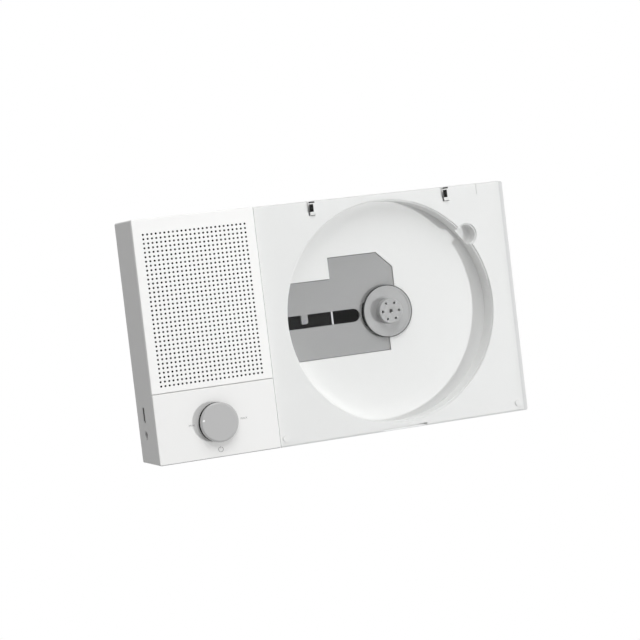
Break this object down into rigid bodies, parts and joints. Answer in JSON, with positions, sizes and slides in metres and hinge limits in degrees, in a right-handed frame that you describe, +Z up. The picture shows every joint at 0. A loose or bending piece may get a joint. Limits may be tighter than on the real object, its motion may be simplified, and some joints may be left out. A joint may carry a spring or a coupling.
{
  "type": "wall mounted cd player",
  "caption": "Flat wall-hung disc player with a perforated speaker block, a push and turn volume knob, and a clear lid hinged at the top over a round disc well.",
  "frame": {"origin": "centre of the wall bracket's four screw holes, on the wall plane behind the body's centre", "axes": "+X right as seen from the front, +Y into the wall, +Z up; the front with the lid and the knob faces -Y"},
  "size_m": [0.23, 0.0418, 0.138],
  "materials": {
    "shell_white": "fine matt texture",
    "panel_white": "satin",
    "bracket_steel": "matt powder coat",
    "hook_steel": "turned",
    "pad_rubber": "matt",
    "screw_steel": "zinc plated",
    "black_plastic": "fine matt texture",
    "grey_plastic": "satin",
    "knob_grey": "satin",
    "print_white": "matt ink",
    "print_grey": "matt ink",
    "paper_cone": "felted",
    "foam_rubber": "matt",
    "ferrite": "dull",
    "copper_coil": "varnished",
    "steel_plain": "satin",
    "aluminium_cap": "satin",
    "clear_acrylic": "polished, see-through",
    "silicone_clear": "matt",
    "circuit_green": "solder mask",
    "battery_wrap": "shrink film",
    "lens_glass": "coated",
    "nylon_white": "moulded"
  },
  "bodies": {
    "case": {"rear_shell": "shell_white", "wall_bracket": "bracket_steel", "bracket_hooks": "hook_steel", "wall_pads": "pad_rubber", "case_screws": "screw_steel", "speaker_grille": "panel_white", "control_panel": "panel_white", "front_baffle": "black_plastic", "speaker_frame": "black_plastic", "speaker_magnet": "ferrite", "speaker_surround": "foam_rubber", "speaker_cone": "paper_cone", "dust_cap": "aluminium_cap", "voice_coil": "copper_coil", "speaker_screws": "screw_steel", "encoder_body": "black_plastic", "encoder_nut": "steel_plain", "panel_marks": "print_grey", "usb_socket": "steel_plain", "jack_socket": "black_plastic", "main_board": "circuit_green", "board_chips": "black_plastic", "battery_pack": "battery_wrap", "disc_deck": "shell_white", "well_pan": "shell_white", "lid_bumpers": "silicone_clear", "hinge_brackets": "steel_plain", "hinge_screws": "screw_steel", "hinge_pins": "steel_plain", "hinge_springs": "steel_plain", "lid_sensor": "circuit_green", "mechanism_cover": "grey_plastic", "drive_chassis": "black_plastic", "guide_rods": "steel_plain", "spindle_motor": "steel_plain", "motor_screws": "screw_steel", "idler_axle": "steel_plain", "idler_clip": "steel_plain", "motor_bracket": "steel_plain", "sled_motor": "steel_plain", "chassis_dampers": "foam_rubber", "damper_screws": "screw_steel"},
    "lid": {"clear_lid": "clear_acrylic", "hinge_arms": "steel_plain", "lid_magnets": "steel_plain"},
    "push_switch": {"switch_plunger": "nylon_white"},
    "knob": {"volume_knob": "knob_grey", "knob_skirt": "black_plastic", "knob_pointer": "print_white", "knob_shaft": "steel_plain"},
    "turntable": {"turntable": "grey_plastic", "flange_ring": "foam_rubber", "spindle_shaft": "steel_plain"},
    "sled": {"pickup_sled": "black_plastic", "tongue_shield": "steel_plain", "lens_holder": "grey_plastic", "pickup_lens": "lens_glass", "sled_rack": "nylon_white"},
    "idler": {"idler_gear": "nylon_white"},
    "sled_motor_rotor": {"motor_pinion": "nylon_white"}
  },
  "joints": [
    {"name": "lid_hinge", "type": "hinge", "parent": "case", "child": "lid", "pos_m": [0.036, -0.0268, 0.0652], "axis": [-1, 0, 0], "range_deg": [0, 95]},
    {"name": "knob_press", "type": "slide", "parent": "case", "child": "push_switch", "axis": [0, 1, 0], "range_m": [0, 0.0005], "stiffness_N_per_m": 3000, "springref_m": -0.0002},
    {"name": "knob_turn", "type": "hinge", "parent": "push_switch", "child": "knob", "pos_m": [-0.079, -0.04, -0.049], "axis": [0, 1, 0], "range_deg": [-12, 168]},
    {"name": "turntable_spin", "type": "hinge", "parent": "case", "child": "turntable", "pos_m": [0.0372, -0.024, 0], "axis": [0, 1, 0], "continuous": true},
    {"name": "sled_slide", "type": "slide", "parent": "case", "child": "sled", "axis": [1, 0, 0], "range_m": [-0.0062, 0.0285]},
    {"name": "idler_turn", "type": "hinge", "parent": "case", "child": "idler", "pos_m": [0.0035, -0.013, -0.0278], "axis": [0, 1, 0], "range_deg": [-75, 341]},
    {"name": "sled_motor_turn", "type": "hinge", "parent": "case", "child": "sled_motor_rotor", "pos_m": [0.01478, -0.014, -0.0319], "axis": [0, 1, 0], "range_deg": [-795, 174]}
  ],
  "couplings": [
    {"joint": "idler_turn", "follows": "sled_slide", "rad_per_m": 208.33},
    {"joint": "sled_motor_turn", "follows": "sled_slide", "rad_per_m": -486.11}
  ]
}
